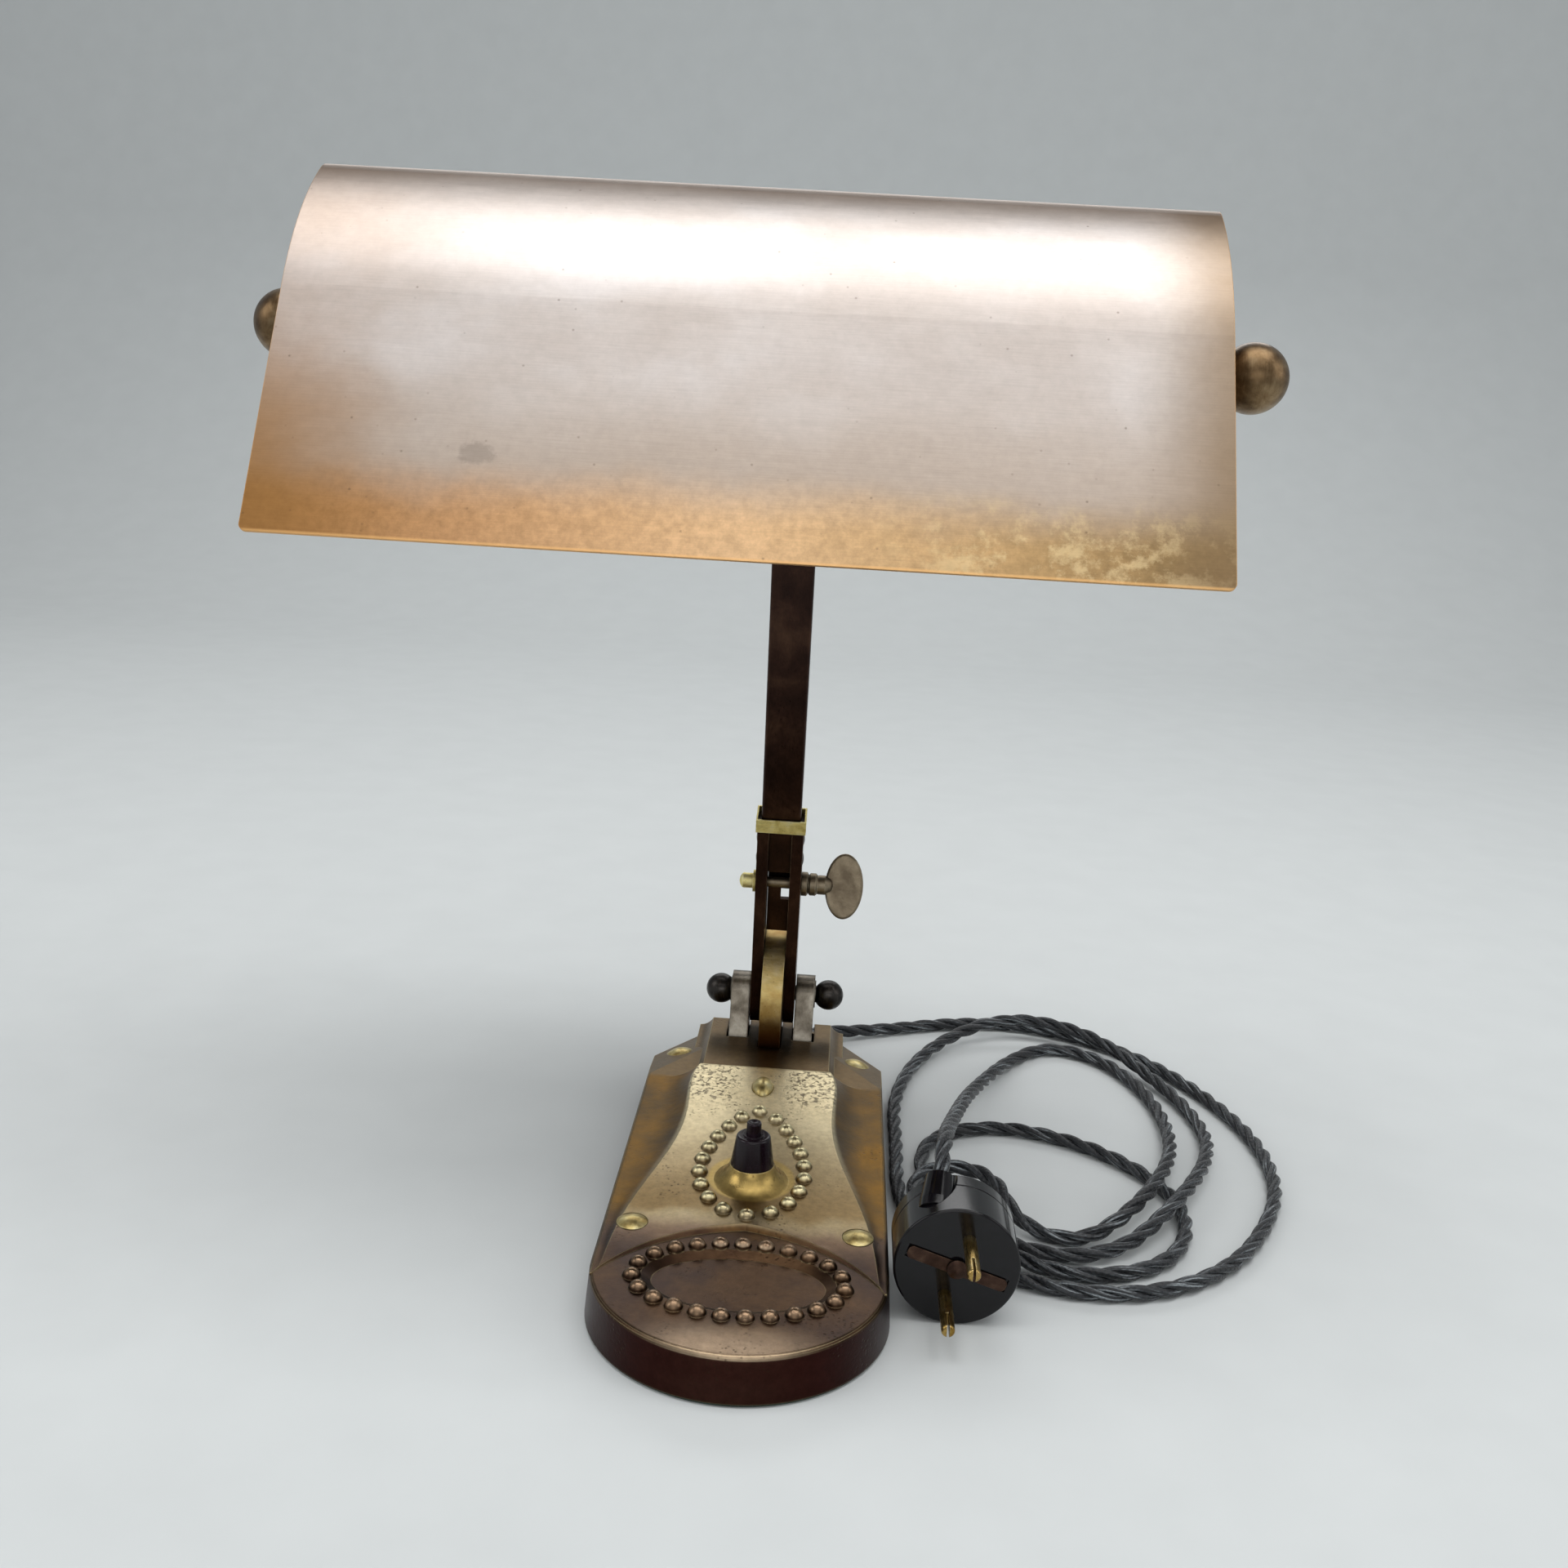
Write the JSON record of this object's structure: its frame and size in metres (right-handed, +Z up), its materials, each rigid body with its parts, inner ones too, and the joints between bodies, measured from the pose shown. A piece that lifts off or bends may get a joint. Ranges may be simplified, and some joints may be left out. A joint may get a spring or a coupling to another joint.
{
  "type": "desk lamp",
  "caption": "Notary desk lamp: long angled shade on a cross rod, leaning arm on a friction hinge, weighted beaded base with push switch, looped cord and plug.",
  "frame": {"origin": "underside of the base on the table, on the base's centre line, 117 mm in front of its rear wall", "axes": "+X to the right along the shade and its cross rod, +Y to the back of the lamp, +Z up"},
  "size_m": [0.3632, 0.2792, 0.3258],
  "materials": {
    "base_brass": "cast brass with dark antique patina",
    "weight_iron": "bare cast iron",
    "plate_steel": "plain steel",
    "felt": "dark green felt",
    "rivet_brass": "worn brass",
    "ear_steel": "nickel-grey steel, aged",
    "disc_brass": "golden brass",
    "dark_steel": "black oxide steel",
    "bakelite": "black bakelite",
    "arm_brown": "dark brown patina",
    "shade_brass": "worn silvery brass",
    "knob_brass": "worn brass",
    "holder_brass": "plain brass",
    "bulb_metal": "plain",
    "bulb_glass": "opal glass",
    "cord_textile": "twisted dark textile cord",
    "pin_brass": "bright brass"
  },
  "bodies": {
    "base": {"base_cover": "base_brass", "base_weight": "weight_iron", "bottom_plate": "plate_steel", "base_felt": "felt", "cover_rivets": "rivet_brass", "left_ear": "ear_steel", "right_ear": "ear_steel", "ear_screws": "plate_steel", "friction_disc": "disc_brass", "pivot_bolt": "dark_steel", "pivot_ball_left": "dark_steel", "pivot_ball_right": "dark_steel", "pivot_washers": "ear_steel", "switch_collar": "bakelite", "switch_body": "bakelite", "cord_bush": "bakelite", "cord": "cord_textile", "plug_body": "bakelite", "plug_cap": "bakelite", "plug_spout": "bakelite", "plug_pins": "pin_brass", "plug_earth_strap": "pin_brass", "plug_screw": "pin_brass"},
    "button": {"switch_plunger": "bakelite"},
    "arm": {"fork_leg_left": "arm_brown", "fork_leg_right": "arm_brown", "spacer_block": "arm_brown", "fork_rivets": "arm_brown", "ferrule": "disc_brass", "stem": "arm_brown", "stem_head": "arm_brown", "cross_rod": "knob_brass", "rod_washers": "knob_brass", "end_collar_left": "knob_brass", "end_collar_right": "knob_brass", "screw_nut": "disc_brass", "holder_bracket": "holder_brass", "holder_nipple": "holder_brass", "nipple_nut": "holder_brass", "lamp_holder": "holder_brass", "bulb_cap": "bulb_metal", "bulb_glass": "bulb_glass"},
    "clamp": {"thumb_screw": "ear_steel"},
    "shade": {"shade_sheet": "shade_brass", "end_plate_left": "shade_brass", "end_plate_right": "shade_brass"},
    "left_knob": {"knob_left": "knob_brass"},
    "right_knob": {"knob_right": "knob_brass"}
  },
  "joints": [
    {"name": "arm_tilt", "type": "hinge", "parent": "base", "child": "arm", "pos_m": [0, 0.107, 0.0325], "axis": [1, 0, 0], "range_deg": [-25, 35]},
    {"name": "shade_tilt", "type": "hinge", "parent": "arm", "child": "shade", "pos_m": [-0.0136, 0.03352, 0.2771], "axis": [1, 0, 0], "range_deg": [-30, 55]},
    {"name": "thumb_screw_turn", "type": "hinge", "parent": "arm", "child": "clamp", "pos_m": [0.02, 0.09184, 0.08297], "axis": [1, 0, 0], "range_deg": [0, 540]},
    {"name": "knob_left_turn", "type": "hinge", "parent": "arm", "child": "left_knob", "pos_m": [-0.16, 0.03352, 0.2771], "axis": [-1, 0, 0], "range_deg": [0, 540]},
    {"name": "knob_right_turn", "type": "hinge", "parent": "arm", "child": "right_knob", "pos_m": [0.135, 0.03352, 0.2771], "axis": [1, 0, 0], "range_deg": [0, 540]},
    {"name": "switch_press", "type": "slide", "parent": "base", "child": "button", "axis": [0, 0, -1], "range_m": [0, 0.0025], "stiffness_N_per_m": 400, "springref_m": -0.001}
  ]
}
